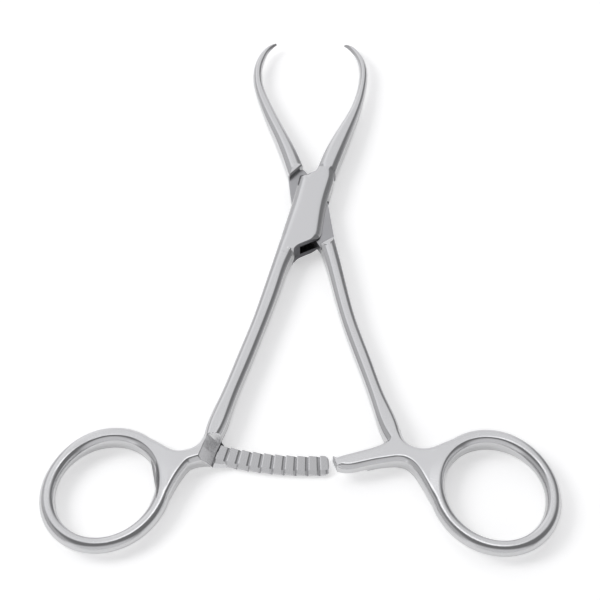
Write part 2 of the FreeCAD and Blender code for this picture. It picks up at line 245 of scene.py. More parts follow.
# Studio: half width of the floor and its gap below the object in millimetres, lamp in metres, and the
# softbox of the tent as its height over the horizon, outer and inner angle in degrees, and brightness
FLOOR_REACH = 3000.0
FLOOR_GAP = 0.01
LAMP_DIRECTION = (-0.8, 0.1, 0.75)
LAMP_DISTANCE = 0.8
LAMP_SIZE = 0.35
TENT_GREY = 0.24
TENT_SOFTBOX = (72.0, 9.0, 5.0, 1.5)


def linear_colour(code):
    """sRGB hex colour as linear RGBA."""
    values = []
    for start in (1, 3, 5):
        share = int(code[start:start + 2], 16) / 255
        values.append(share / 12.92 if share <= 0.04045 else ((share + 0.055) / 1.055) ** 2.4)
    return (*values, 1.0)


def add_node(tree, kind, settings=None, links=None):
    """Adds a shader node, sets its values and links its inputs. Settings name attributes or input sockets."""
    node = tree.nodes.new(kind)
    for name, value in (settings or {}).items():
        if name in node.inputs:
            node.inputs[name].default_value = value
        else:
            setattr(node, name, value)
    for name, source in (links or {}).items():
        tree.links.new(source, node.inputs[name])
    return node


def spline(points, count, closed=False):
    """Natural cubic spline through the points, one column for each coordinate, at even steps of the chord."""
    points = np.asarray(points, float)
    chord = np.linalg.norm(np.diff(points[:, :2], axis=0), axis=1)
    knots = np.concatenate([[0.0], np.cumsum(chord)])
    gaps = np.diff(knots)
    size = len(points)
    system = np.eye(size)
    right = np.zeros_like(points)
    rows = np.arange(1, size - 1)
    system[rows, rows - 1] = gaps[:-1]
    system[rows, rows] = 2 * (gaps[:-1] + gaps[1:])
    system[rows, rows + 1] = gaps[1:]
    slopes = np.diff(points, axis=0) / gaps[:, None]
    right[1:-1] = 6 * (slopes[1:] - slopes[:-1])
    bend = np.linalg.solve(system, right)
    places = np.linspace(0, knots[-1], count)
    span = np.clip(np.searchsorted(knots, places, side="right") - 1, 0, size - 2)
    gap = gaps[span][:, None]
    before = ((knots[span + 1] - places)[:, None]) / gap
    after = 1 - before
    return (before * points[span] + after * points[span + 1]
            + ((before ** 3 - before) * bend[span] + (after ** 3 - after) * bend[span + 1]) * gap ** 2 / 6)


def ease(low, high, share):
    """Smooth step from low to high as share goes from 0 to 1."""
    share = np.clip(share, 0.0, 1.0)
    return low + (high - low) * share * share * (3 - 2 * share)


def tube_faces(rows, columns, closed_rows=False):
    """Quads of a tube given as rows of closed loops; closed_rows joins the last row to the first."""
    i = np.arange(rows if closed_rows else rows - 1)[:, None]
    j = np.arange(columns)[None, :]
    across = (j + 1) % columns
    below = (i + 1) % rows
    quads = np.stack(np.broadcast_arrays(
        i * columns + j, i * columns + across, below * columns + across, below * columns + j), axis=-1)
    return quads.reshape(-1, 4)


def make_mesh(name, grid, closed_rows=False, sharp_degrees=SHARP_DEGREES):
    """Mesh object from a grid of loops in mm, heights from the mid-plane; open ends get flat caps."""
    rows, columns = grid.shape[:2]
    points = grid.reshape(-1, 3).copy()
    points[:, 2] += MIDDLE
    faces = tube_faces(rows, columns, closed_rows).tolist()
    if not closed_rows:
        faces.append(list(range(columns))[::-1])
        faces.append(list(range((rows - 1) * columns, rows * columns)))
    mesh = bpy.data.meshes.new(name)
    mesh.from_pydata((points * MM).tolist(), [], faces)
    mesh.validate()
    mesh.update()
    piece = bpy.data.objects.new(name, mesh)
    bpy.context.scene.collection.objects.link(piece)
    if signed_volume(mesh) < 0:
        mesh.flip_normals()
    mesh.shade_smooth()
    mesh.set_sharp_from_angle(angle=math.radians(sharp_degrees))
    return piece


def signed_volume(mesh):
    """Sum of the signed tetrahedra from the origin to each triangle, positive when faces point outwards."""
    mesh.calc_loop_triangles()
    corners = np.empty(len(mesh.loop_triangles) * 3, np.int32)
    mesh.loop_triangles.foreach_get("vertices", corners)
    places = np.empty(len(mesh.vertices) * 3)
    mesh.vertices.foreach_get("co", places)
    a, b, c = places.reshape(-1, 3)[corners.reshape(-1, 3)].transpose(1, 0, 2)
    return float(np.einsum("ij,ij->i", a, np.cross(b, c)).sum())


def bar_edges(stations, count):
    """Left and right edge of a bar, half the width to each side of the curve through its stations."""
    path = spline(stations, count)
    heading = np.gradient(path[:, :2], axis=0)
    heading /= np.linalg.norm(heading, axis=1)[:, None]
    across = np.stack([-heading[:, 1], heading[:, 0]], axis=1) * path[:, 2][:, None]
    return path[:, :2] + across, path[:, :2] - across


def ruled_plan(left, right, columns):
    """Plan points on straight lines from the left to the right edge, at (1 - cos(turn)) / 2 of the way.

    The first and last column are the edges; the columns between them start and end a fixed setback inside."""
    width = np.linalg.norm(right - left, axis=1)[:, None]
    share = (1 - np.cos(np.linspace(0, np.pi, columns - 2))) / 2
    inner = EDGE_SETBACK / width + (1 - 2 * EDGE_SETBACK / width) * share[None, :]
    share = np.concatenate([np.zeros_like(width), inner, np.ones_like(width)], axis=1)[:, :, None]
    return left[:, None, :] * (1 - share) + right[:, None, :] * share


def cut_plan(plan, line, keep_start):
    """Resamples each lengthwise column so that its last row, or its first, lies on the plan line; the rows
    crowd towards the cut with the sine of their share."""
    start, end = np.array(line, float)
    normal = np.array([-(end - start)[1], (end - start)[0]])
    rows, columns = plan.shape[:2]
    side = (plan - start) @ normal
    result = np.empty_like(plan)
    steps = np.arange(rows)
    crowded = np.sin(np.linspace(0, np.pi / 2, rows))
    for column in range(columns):
        signs = side[:, column] * np.sign(side[0, column] if keep_start else side[-1, column])
        beyond = np.where(signs < 0)[0]
        first = beyond[0] if keep_start else beyond[-1]
        other = first - 1 if keep_start else first + 1
        cross = other + (first - other) * signs[other] / (signs[other] - signs[first])
        places = crowded * cross if keep_start else rows - 1 - crowded[::-1] * (rows - 1 - cross)
        for axis in range(2):
            result[:, column, axis] = np.interp(places, steps, plan[:, column, axis])
    return result


def with_rim(points, size=1.0):
    """Outline points with the relative size of the rim that follows them."""
    return np.column_stack([points, np.full(len(points), size)])


def grid_outline(plan, end_size=1.0):
    """Closed outline round a plan grid; the rim at the last and first row may have another size."""
    return even_sizes(np.concatenate([
        with_rim(plan[:-1, 0]), with_rim(plan[-1, :-1], end_size),
        with_rim(plan[:0:-1, -1]), with_rim(plan[0, :0:-1], end_size)]))


def even_sizes(outline, reach=5):
    """Outline whose rim sizes are the mean over the neighbouring points, so that they change gradually."""
    shifted = [np.roll(outline[:, 2], step) for step in range(-reach, reach + 1)]
    return np.column_stack([outline[:, :2], np.mean(shifted, axis=0)])


def inside(points, loops):
    """Even-odd test: whether a ray to the right crosses the closed loops an odd number of times."""
    odd = np.zeros(len(points), bool)
    for loop in loops:
        a = loop[:, :2]
        b = np.roll(a, -1, axis=0)
        y = points[:, 1][:, None]
        spans = (a[:, 1] > y) != (b[:, 1] > y)
        rise = np.where(a[:, 1] == b[:, 1], 1.0, b[:, 1] - a[:, 1])
        crossing = a[:, 0] + (y - a[:, 1]) * (b[:, 0] - a[:, 0]) / rise
        odd ^= (spans & (points[:, 0][:, None] < crossing)).sum(axis=1) % 2 == 1
    return odd


def free_edges(shapes):
    """Straight pieces of the shapes' outlines that no other shape covers: start, end and size of the rim."""
    kept = []
    for index, loops in enumerate(shapes):
        for loop in loops:
            following = np.roll(loop[:, :2], -1, axis=0)
            middles = (loop[:, :2] + following) / 2
            covered = np.zeros(len(loop), bool)
            for other, other_loops in enumerate(shapes):
                if other != index:
                    covered |= inside(middles, other_loops)
            pieces = np.column_stack([loop[:, :2], following, loop[:, 2:]])
            kept.append(pieces[~covered])
    return np.concatenate(kept)


def rim_drop(plan, edges, ring_centre):
    """Depth of the rim below the flat front over plan points.

    At the distance d from the nearest free edge it is the sum, for the soft roll and the firm bevel, of
    drop * (1 - d / width)^power. Widths and drops follow y down the arm and then turn to the ring's.
    """
    points = plan.reshape(-1, 2)
    starts, ends = edges[:, :2], edges[:, 2:4]
    middles = (starts + ends) / 2
    distance = np.full(len(points), np.inf)
    size = np.empty(len(points))
    for first in range(0, len(points), POINTS_AT_ONCE):
        part = points[first:first + POINTS_AT_ONCE]
        gaps = ((part[:, None, :] - middles[None, :, :]) ** 2).sum(axis=2)
        nearest = gaps.argmin(axis=1)
        least = np.full(len(part), np.inf)
        for step in (-1, 0, 1):
            index = (nearest + step) % len(edges)
            run = ends[index] - starts[index]
            share = ((part - starts[index]) * run).sum(axis=1) / np.maximum((run ** 2).sum(axis=1), 1e-12)
            foot = starts[index] + run * np.clip(share, 0, 1)[:, None]
            least = np.minimum(least, np.linalg.norm(part - foot, axis=1))
        distance[first:first + POINTS_AT_ONCE] = least
        size[first:first + POINTS_AT_ONCE] = edges[nearest, 4]
    table = np.array(RIMS)
    toward_ring = ring_share(points, ring_centre)
    values = [np.interp(points[:, 1], table[:, 0], table[:, column]) * (1 - toward_ring) + ring * toward_ring
              for column, ring in zip((1, 2, 3, 4), RING_RIM)]
    drop = np.zeros(len(points))
    for width, depth, power in ((values[0], values[1], ROLL_POWER), (values[2], values[3], BEVEL_POWER)):
        drop += size * depth * np.clip(1 - distance / (width * size), 0, 1) ** power
    return drop.reshape(plan.shape[:2])


def shell(plan, front_height, rear_height):
    """Loops round a forged bar from its plan grid and the heights of its front and rear; the first and last
    column are the parting line at the mid-plane."""
    front = np.concatenate([plan, front_height[:, :, None]], axis=2)
    rear = np.concatenate([plan, rear_height[:, :, None]], axis=2)[:, -2:0:-1]
    for column in (0, -1):
        front[:, column, 2] = np.clip(0, rear_height[:, column], front_height[:, column])
    return np.concatenate([front, rear], axis=1)


def ring_share(points, ring_centre):
    """0 on the arm and 1 from near the ring's middle outwards, with a smooth change between."""
    centre = np.array(ring_centre)
    away = centre / np.linalg.norm(centre)
    start, run = RING_BLEND
    return ease(0, 1, ((points - centre) @ away + RING_HALF_LENGTH - start) / run)


def arm_height(plan, jaw_top, ring_centre):
    """Half thickness of an arm: thin at the jaw's tip, swelling to the box, slimmest half-way down the
    shank, thicker at the neck, thinner again towards the far side of the ring."""
    y = plan[..., 1]
    down = (jaw_top - y) / (jaw_top - JAW_ROOT)
    tip = ease(TIP_HALF, POINT_HALF, down / POINT_SHARE)
    jaw = ease(tip, BOX_HALF - FORGED_INSET, (down - SWELL_START) / SWELL_SHARE)
    waist = ease(BOX_HALF - FORGED_INSET, WAIST_HALF, (WAIST_RUN[0] - y) / WAIST_RUN[1])
    neck = ease(waist, NECK_HALF, (NECK_RUN[0] - y) / NECK_RUN[1])
    handle = neck + (RING_HALF_THICKNESS - neck) * ring_share(plan, ring_centre)
    return np.where(y > 0, jaw, handle)


def ring_axes(centre):
    """Unit directions of a ring's long and short axis; the long one points away from the pivot."""
    long_axis = np.array(centre) / np.linalg.norm(centre)
    return long_axis, np.array([-long_axis[1], long_axis[0]])


def ring_edges(centre):
    """Outer and inner edge of a ring's bar at even turns of the oval's angle."""
    turns = np.linspace(0, 2 * np.pi, RING_ROWS, endpoint=False)
    long_axis, short_axis = ring_axes(centre)
    line = (np.outer(np.cos(turns) * RING_HALF_LENGTH, long_axis)
            + np.outer(np.sin(turns) * RING_HALF_WIDTH, short_axis))
    out = (np.outer(np.cos(turns) / RING_HALF_LENGTH, long_axis)
           + np.outer(np.sin(turns) / RING_HALF_WIDTH, short_axis))
    out *= RING_BAR_HALF / np.linalg.norm(out, axis=1)[:, None]
    return np.array(centre) + line + out, np.array(centre) + line - out


def neck_plan(ribs, centre):
    """Plan of a neck, ruled from its upper to its lower edge. The rows bow out with the cube of their share,
    so that the last one follows the oval middle line of the ring's bar, with its ends outside that."""
    edges = spline(ribs, NECK_ROWS)
    plan = ruled_plan(edges[:, :2], edges[:, 2:], NECK_COLUMNS)
    long_axis, short_axis = ring_axes(centre)
    toward = plan[-1] - np.array(centre)
    share = np.linspace(0, 1, NECK_COLUMNS)
    growth = np.interp(np.minimum(share, 1 - share), NECK_END_SHARES, NECK_END_GROWTH)
    reach = np.hypot(toward @ long_axis / (RING_HALF_LENGTH + growth),
                     toward @ short_axis / (RING_HALF_WIDTH + growth))
    bowed = np.array(centre) + toward / reach[:, None]
    bow = (np.linspace(0, 1, NECK_ROWS) ** 3)[:, None, None]
    return plan + bow * (bowed - plan[-1])[None, :, :]


def plan_angle(points):
    """Angle of plan points about the pivot, in degrees from -Y towards +X."""
    return np.degrees(np.arctan2(points[..., 0], -points[..., 1]))


def soft_least(first, second, softness=0.04):
    """The lesser of two heights with a rounded change: (a + b - sqrt((a - b)^2 + softness^2)) / 2."""
    return (first + second - np.sqrt((first - second) ** 2 + softness ** 2)) / 2


def ratchet_ramp(plan):
    """Height of the ground that leads down to the toothed face.

    It falls evenly with the angle to just under the teeth's crests and drops below them where they start. It
    climbs steeply towards the pivot inside the bar's inner edge, so it lies above the front elsewhere."""
    angle = plan_angle(plan)
    radius = np.hypot(plan[..., 0], plan[..., 1])
    foot = FEMALE_CREST - RAMP_FOOT
    fall = (NECK_HALF - foot) * np.clip((FIRST_TOOTH - angle) / RAMP_ANGLE, 0, None)
    under_teeth = np.where(angle < FIRST_TOOTH, 0.0, TOOTH_HEIGHT)
    return foot + fall - under_teeth + RAMP_SIDE * np.clip(BAR_INNER - radius, 0, None)


def pawl_relief(plan):
    """Height above which the rear of the short bar stays, so that it clears the long bar: the pawl's base up
    to its last tooth, then the teeth's crest as far as the bars overlap, and steep walls down beside that,
    so that it is no limit on the jaw or the shank."""
    angle = plan_angle(plan)
    radius = np.hypot(plan[..., 0], plan[..., 1])
    block_end = MALE_FIRST_TOOTH + TOOTH_PITCH * TEETH_MALE
    at_block = (angle < block_end) & (plan[..., 1] < 0)
    floor = np.where(at_block, PAWL_BASE, MALE_CREST)
    beyond = np.maximum(np.maximum(radius - RELIEF_OUTER, RELIEF_INNER - radius),
                        np.radians(angle - RELIEF_END) * radius)
    beyond = np.where(at_block, 0, np.clip(beyond, 0, None))
    return floor - RELIEF_SLOPE * beyond


def arc_point(radius, degrees, height):
    """Point at a radius and an angle about the pivot, in degrees from -Y towards +X, and a height."""
    turn = np.radians(degrees)
    return np.stack([radius * np.sin(turn), -radius * np.cos(turn), height], axis=-1)


def bar_loops(angles, inner, outer, face, back, edge):
    """Section turned about the pivot, with its height following the face: a toothed face, narrow chamfers
    beside it, and a plain back whose edges are cut by the given size."""
    away = np.sign(back - face.mean()) * edge
    loops = [(outer, back - away), (outer - edge / 3, back - away / 3), (outer - edge, back),
             (inner + edge, back), (inner + edge / 3, back - away / 3), (inner, back - away),
             (inner, face + 0.3 * away), (inner + 0.12, face), (outer - 1.5 * edge, face),
             (outer - edge / 4, face + 1.1 * away), (outer, face + 1.5 * away)]
    return np.stack([arc_point(radius, angles, np.broadcast_to(height, angles.shape))
                     for radius, height in loops], axis=1)


def tooth_faces(first, count, share, fall):
    """Angles along a row of saw teeth and how far each point lies below the crest, in tooth heights."""
    starts = first + TOOTH_PITCH * np.arange(count)
    return (starts[:, None] + TOOTH_PITCH * np.array(share)).ravel(), np.tile(fall, count)


def female_bar_loops():
    """Toothed bar. Each tooth rises at once at its left, has a small bevel there, slopes gently and then
    falls away to its root; both sides close in at the free end along a quarter circle."""
    angles, fall = tooth_faces(FIRST_TOOTH, TEETH_FEMALE, *FEMALE_TOOTH)
    angles = np.concatenate([[FIRST_TOOTH - RAMP_ANGLE, FIRST_TOOTH - 0.01], angles])
    fall = np.concatenate([[1.0, 1.0], fall])
    end = FIRST_TOOTH + TOOTH_PITCH * TEETH_FEMALE - BAR_OVERRUN
    tip = end - BAR_TIP * (1 - np.sin(np.linspace(0, np.pi / 2, 8)))
    fall = np.concatenate([fall[angles < tip[0]], np.interp(tip, angles, fall)])
    angles = np.concatenate([angles[angles < tip[0]], tip])
    bow = BAR_TIP * (1 - np.sqrt(1 - np.clip(1 - (end - angles) / BAR_TIP, 0, 1) ** 2))
    face = FEMALE_CREST - TOOTH_HEIGHT * fall
    return bar_loops(angles, BAR_INNER + bow, BAR_OUTER - bow, face, BAR_REAR, BAR_EDGE)


def pawl_loops():
    """Block of teeth under the short bar, facing the long bar; its corners at the tip are rounded."""
    angles, fall = tooth_faces(MALE_FIRST_TOOTH, TEETH_MALE, *MALE_TOOTH)
    start = MALE_FIRST_TOOTH + PAWL_SETBACK
    tip = start + PAWL_TIP * (1 - np.cos(np.linspace(0, np.pi / 2, 8)))
    kept = angles > tip[-1]
    fall = np.concatenate([np.interp(tip, angles, fall), fall[kept]])
    angles = np.concatenate([tip, angles[kept]])
    bow = PAWL_TIP * (1 - np.sqrt(1 - np.clip(1 - (angles - start) / PAWL_TIP, 0, 1) ** 2))
    face = MALE_CREST + TOOTH_HEIGHT * MALE_TOOTH_SHARE * fall
    inner = np.interp(angles, angles[[0, -1]], PAWL_INNER)
    return bar_loops(angles, inner + bow, PAWL_OUTER - bow, face, PAWL_BASE + PAWL_DEPTH, PAWL_EDGE)


def female_bar_outline():
    """Plan of the toothed bar, which covers the neck's edge where it starts."""
    angles = np.linspace(FIRST_TOOTH - RAMP_ANGLE, FIRST_TOOTH + BAR_COVER, 60)
    inner = arc_point(BAR_INNER, angles, 0 * angles)[:, :2]
    outer = arc_point(BAR_OUTER, angles, 0 * angles)[:, :2]
    return with_rim(np.concatenate([inner, outer[::-1]]))


def rounded_outline(points, radii, steps=8):
    """Outline whose corners are replaced by quadratic curves that start and end a radius from the corner."""
    points = np.asarray(points, float)
    radii = np.broadcast_to(np.asarray(radii, float), len(points))
    before = np.roll(points, 1, axis=0) - points
    after = np.roll(points, -1, axis=0) - points
    length_before = np.linalg.norm(before, axis=1)
    length_after = np.linalg.norm(after, axis=1)
    reach = np.minimum(radii, 0.45 * np.minimum(length_before, length_after))
    start = points + before * (reach / length_before)[:, None]
    end = points + after * (reach / length_after)[:, None]
    share = np.linspace(0, 1, steps)[None, :, None]
    curve = ((1 - share) ** 2 * start[:, None] + 2 * share * (1 - share) * points[:, None]
             + share ** 2 * end[:, None])
    return curve.reshape(-1, 2)


def stack_outlines(levels):
    """Loops of equal outlines at rising heights, as a grid for make_mesh."""
    loops = [np.column_stack([outline, np.full(len(outline), height)]) for outline, height in levels]
    return np.stack(loops, axis=0)


def finely(outline, step=0.2):
    """Closed outline with its long straights divided, all columns running evenly along them."""
    following = np.roll(outline, -1, axis=0)
    length = np.linalg.norm(following[:, :2] - outline[:, :2], axis=1)
    pieces = [a + (b - a) * np.linspace(0, 1, max(1, math.ceil(size / step)), endpoint=False)[:, None]
              for a, b, size in zip(outline, following, length)]
    return np.concatenate(pieces)


def cheek_outline():
    """Rounded outline of the cheeks, each side with the size of the rim from the corner before it."""
    corners = np.array(CHEEK_OUTLINE)
    curve = rounded_outline(corners[:, :2], corners[:, 2])
    sizes = np.repeat(corners[:, 3], len(curve) // len(corners))
    return even_sizes(finely(np.column_stack([curve, sizes])), 2)


def cheek_loops(outline, edges, side):
    """One cheek: from the slot up its side, over the rim and in towards the box's axis, each loop a share
    of the way from the outline to its foot on that axis."""
    plan = outline[:, :2]
    start, end = np.array(CHEEK_AXIS)
    run = end - start
    foot = start + run * np.clip((plan - start) @ run / (run @ run), 0, 1)[:, None]
    share = np.linspace(0, CHEEK_REACH, CHEEK_LOOPS)[:, None, None] ** CHEEK_CROWDING
    inward = plan[None] + (foot - plan)[None] * share
    height = arm_height(inward, FEMALE_JAW[0][1], FEMALE_RING_CENTRE) + CHEEK_LIFT
    height -= rim_drop(inward, edges, FEMALE_RING_CENTRE)
    front = np.concatenate([inward, side * height[:, :, None]], axis=2)
    slot = np.column_stack([plan, np.full(len(plan), SLOT_FRONT if side > 0 else SLOT_REAR)])
    return np.concatenate([slot[None], front], axis=0)


def slot_walls(outline):
    """Plans of the solid walls that close the slot above at the right and below at the left; their outer
    side is the cheeks' own edge."""
    plan = outline[:, :2]
    right = plan[(plan[:, 0] > UPPER_WALL_CORNER[0]) & (plan[:, 1] > UPPER_WALL_CORNER[1])]
    left = plan[(plan[:, 0] < LOWER_WALL_CORNER[0]) & (plan[:, 1] < LOWER_WALL_CORNER[1])]
    return {"upper_slot_wall": np.concatenate([right, UPPER_WALL_INSIDE]),
            "lower_slot_wall": np.concatenate([left, LOWER_WALL_INSIDE])}


def steel(name, colour, roughness, grain_mm, grain_depth):
    """Forged stainless steel, ground and satin-polished: an even grey metal whose fine polishing grain
    spreads each reflection, with slightly brighter and duller patches a few millimetres across."""
    material = bpy.data.materials.new(name)
    material.use_nodes = True
    tree = material.node_tree
    tree.nodes.clear()
    place = add_node(tree, "ShaderNodeTexCoord")
    patches = add_node(tree, "ShaderNodeTexNoise", {"Scale": 1 / (6 * MM), "Detail": 3.0, "Roughness": 0.5},
                       {"Vector": place.outputs["Object"]})
    spread = {"From Min": 0.3, "From Max": 0.7, "To Min": roughness * 0.85, "To Max": roughness * 1.15}
    dullness = add_node(tree, "ShaderNodeMapRange", spread, {"Value": patches.outputs["Fac"]})
    grain = add_node(tree, "ShaderNodeTexNoise",
                     {"Scale": 1 / (grain_mm * MM), "Detail": 2.0, "Roughness": 0.6},
                     {"Vector": place.outputs["Object"]})
    bump = add_node(tree, "ShaderNodeBump", {"Strength": grain_depth, "Distance": 0.02 * MM},
                    {"Height": grain.outputs["Fac"]})
    shader = add_node(tree, "ShaderNodeBsdfPrincipled",
                      {"Base Color": linear_colour(colour), "Metallic": 1.0},
                      {"Roughness": dullness.outputs["Result"], "Normal": bump.outputs["Normal"]})
    add_node(tree, "ShaderNodeOutputMaterial", None, {"Surface": shader.outputs["BSDF"]})
    return material


def finish_piece(piece, body, nodes, material):
    """Gives a piece its material, puts it on its body and hides the CAD nodes that it stands in for."""
    piece.data.materials.clear()
    piece.data.materials.append(material)
    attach(piece, body)
    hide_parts(*nodes)


def satin_steel(settings):
    """The finish of the forged outsides, satin-polished on a wheel."""
    return bpy.data.materials.get("satin_polished_stainless_steel") or steel(
        "satin_polished_stainless_steel", settings.steel_colour, settings.steel_roughness, 0.25, 0.25)


def milled_steel_with_painted_shade():
    """Same steel on the milled faces of the lock, which no polishing wheel reaches: duller, and a darker grey
    that is painted shade of the recess under the cheeks.
    """
    return bpy.data.materials.get("milled_stainless_steel_painted_shade") or steel(
        "milled_stainless_steel_painted_shade", "#a6a6a8", 0.36, 0.3, 0.4)


def painted_shade_slot_steel():
    """Same steel in the mouth of the slot, duller, with a dark grey base colour that is painted shade of the
    slot's mouth.
    """
    return bpy.data.materials.get("slot_steel_painted_shade") or steel(
        "slot_steel_painted_shade", "#6c6c6f", 0.45, 0.3, 0.5)


def paint_mouth_shade(cheek, outline):
    """Gives the cheek's side faces in the slot's lower mouth, the first row of the mesh, the slot's dark steel
    of painted shade.
    """
    cheek.data.materials.append(painted_shade_slot_steel())
    middles = (outline[:, :2] + np.roll(outline[:, :2], -1, axis=0)) / 2
    shaded_mouth = (middles[:, 1] < SHADED_MOUTH_TOP) & (middles[:, 0] > SHADED_MOUTH_SIDES[0]) & (middles[:, 0] < SHADED_MOUTH_SIDES[1])
    index = np.zeros(len(cheek.data.polygons), np.int32)
    index[:len(shaded_mouth)] = shaded_mouth
    cheek.data.polygons.foreach_set("material_index", index)


class ForcepsSettings(bpy.types.PropertyGroup):
    steel_colour: bpy.props.StringProperty(
        name="Steel colour", description="sRGB hex colour of the polished steel", default="#c9c9ca")
    steel_roughness: bpy.props.FloatProperty(
        name="Steel roughness", description="Spread of the reflections in the satin polish", default=0.2,
        min=0.0, max=1.0, subtype="FACTOR")
    floor_colour: bpy.props.StringProperty(
        name="Floor colour", description="sRGB hex colour of the studio floor", default="#f4f4f4")
    key_power: bpy.props.FloatProperty(
        name="Key light", description="Power of the softbox on the left", default=2.0, unit="POWER")
    floor_glow: bpy.props.FloatProperty(
        name="Floor glow", description="Share of the floor's white that it has of its own", default=0.42,
        min=0.0, max=1.0, subtype="FACTOR")


def arm_edges(arm, shapes):
    """Free edges of an arm's shapes together with its ring's two outlines."""
    outer, inner = ring_edges(arm["ring_centre"])
    return free_edges(shapes + [[with_rim(outer), with_rim(inner)]])


def forged_bars(arm, plans, edges):
    """Loops round each of an arm's bars. Each bar lies a hundredth of a millimetre or two above or below its
    neighbours, so that no two faces coincide where bars run into each other; the neck sinks into the ring."""
    shells = {}
    for name, plan, offset in plans:
        height = arm_height(plan, arm["jaw_top"], arm["ring_centre"]) + offset
        if name.endswith("neck"):
            share = (np.linspace(0, 1, len(plan)) - NECK_SINK_START) / (1 - NECK_SINK_START)
            height -= NECK_SINK * ease(0, 1, share)[:, None]
        height -= rim_drop(plan, edges, arm["ring_centre"])
        front = soft_least(height, ratchet_ramp(plan)) if arm["ramp"] else height
        rear = -height if arm["ramp"] else np.maximum(-height, pawl_relief(plan))
        shells[name] = shell(plan, front, np.minimum(rear, front - 0.02))
    return shells


class BuildFemaleArm(bpy.types.Operator):
    """Build the arm with the box lock's cheeks and the long toothed bar"""
    bl_idname = "forceps.build_female_arm"
    bl_label = "Female Arm"

    def execute(self, context):
        settings = context.scene.forceps_settings
        arm = {"jaw_top": FEMALE_JAW[0][1], "ring_centre": FEMALE_RING_CENTRE, "ramp": True}
        jaw = cut_plan(ruled_plan(*bar_edges(FEMALE_JAW, JAW_ROWS), BAR_COLUMNS), JAW_CUT, True)
        shank = ruled_plan(*bar_edges(FEMALE_SHANK, SHANK_ROWS), BAR_COLUMNS)
        neck = neck_plan(FEMALE_NECK, FEMALE_RING_CENTRE)
        ring = ruled_plan(*ring_edges(FEMALE_RING_CENTRE), BAR_COLUMNS)
        cheek = cheek_outline()
        edges = arm_edges(arm, [[grid_outline(jaw)], [grid_outline(shank)], [grid_outline(neck)], [cheek],
                                [female_bar_outline()]])
        pieces = forged_bars(arm, [("female_jaw", jaw, 0.0), ("female_shank", shank, -0.01),
                                   ("female_neck", neck, 0.0), ("female_ring", ring, -0.02)], edges)
        pieces["female_ratchet_bar"] = female_bar_loops()
        pieces["front_cheek"] = cheek_loops(cheek, edges, 1)
        pieces["rear_cheek"] = cheek_loops(cheek, edges, -1)
        for name, outline in slot_walls(cheek).items():
            pieces[name] = stack_outlines([(outline, SLOT_REAR - WALL_OVERLAP),
                                           (outline, SLOT_FRONT + WALL_OVERLAP)])
        for name, grid in pieces.items():
            sharp = SHARP_DEGREES_TEETH if name == "female_ratchet_bar" else SHARP_DEGREES
            piece = make_mesh(name, grid, name == "female_ring", sharp)
            finish_piece(piece, "female_arm", ["female_arm"], satin_steel(settings))
            # The cheeks' mouth faces and the lower slot wall get the dark steel of painted shade
            if name.endswith("cheek"):
                paint_mouth_shade(piece, cheek)
            if name == "lower_slot_wall":
                piece.data.materials[0] = painted_shade_slot_steel()
        return {"FINISHED"}


class BuildMaleArm(bpy.types.Operator):
    """Build the arm with the tongue and the short bar"""
    bl_idname = "forceps.build_male_arm"
    bl_label = "Male Arm"

    def execute(self, context):
        settings = context.scene.forceps_settings
        arm = {"jaw_top": MALE_JAW[0][1], "ring_centre": MALE_RING_CENTRE, "ramp": False}
        jaw = cut_plan(ruled_plan(*bar_edges(MALE_JAW, JAW_ROWS), BAR_COLUMNS), UPPER_SHOULDER, True)
        shank = cut_plan(ruled_plan(*bar_edges(MALE_SHANK, SHANK_ROWS), BAR_COLUMNS), LOWER_SHOULDER, False)
        neck = neck_plan(MALE_NECK, MALE_RING_CENTRE)
        ring = ruled_plan(*ring_edges(MALE_RING_CENTRE), BAR_COLUMNS)
        edges = arm_edges(arm, [[grid_outline(jaw, SHOULDER_RIM)], [grid_outline(shank, SHOULDER_RIM)],
                                [grid_outline(neck, BAR_END_RIM)]])
        pieces = forged_bars(arm, [("male_jaw", jaw, 0.0), ("male_shank", shank, -0.01),
                                   ("male_neck", neck, 0.0), ("male_ring", ring, -0.02)], edges)
        pieces["pawl_teeth"] = pawl_loops()
        tongue = rounded_outline(TONGUE_OUTLINE, TONGUE_ROUNDING)
        pieces["tongue"] = stack_outlines([(tongue, TONGUE_REAR), (tongue, TONGUE_FRONT)])
        for name, grid in pieces.items():
            sharp = SHARP_DEGREES_TEETH if name == "pawl_teeth" else SHARP_DEGREES
            piece = make_mesh(name, grid, name == "male_ring", sharp)
            # The tongue's milled steel is duller, and its darker grey is painted shade of its recess
            material = milled_steel_with_painted_shade() if name == "tongue" else satin_steel(settings)
            finish_piece(piece, "male_arm", ["male_arm"], material)
        return {"FINISHED"}


class BuildPivotPin(bpy.types.Operator):
    """Build the rivet that holds the lock together"""
    bl_idname = "forceps.build_pivot_pin"
    bl_label = "Pivot Pin"

    def execute(self, context):
        material = satin_steel(context.scene.forceps_settings)
        turn = np.linspace(0, 2 * np.pi, RIVET_SIDES, endpoint=False)
        circle = PIN_RADIUS * np.column_stack([np.cos(turn), np.sin(turn)])
        grid = stack_outlines([(circle, RIVET_INSET - BOX_HALF), (circle, BOX_HALF - RIVET_INSET)])
        finish_piece(make_mesh("rivet", grid), "female_arm", ["pivot_pin"], material)
        return {"FINISHED"}


class BuildStudio(bpy.types.Operator):
    """Build the pale floor, the tent, the lamp and the camera of the photograph"""
    bl_idname = "forceps.build_studio"
    bl_label = "Studio"

    def execute(self, context):
        settings = context.scene.forceps_settings
        scene = context.scene
        scene.view_settings.view_transform = "Standard"
        build_floor(settings)
        build_world(scene)
        build_lamp(scene, settings)
        build_camera(scene)
        return {"FINISHED"}


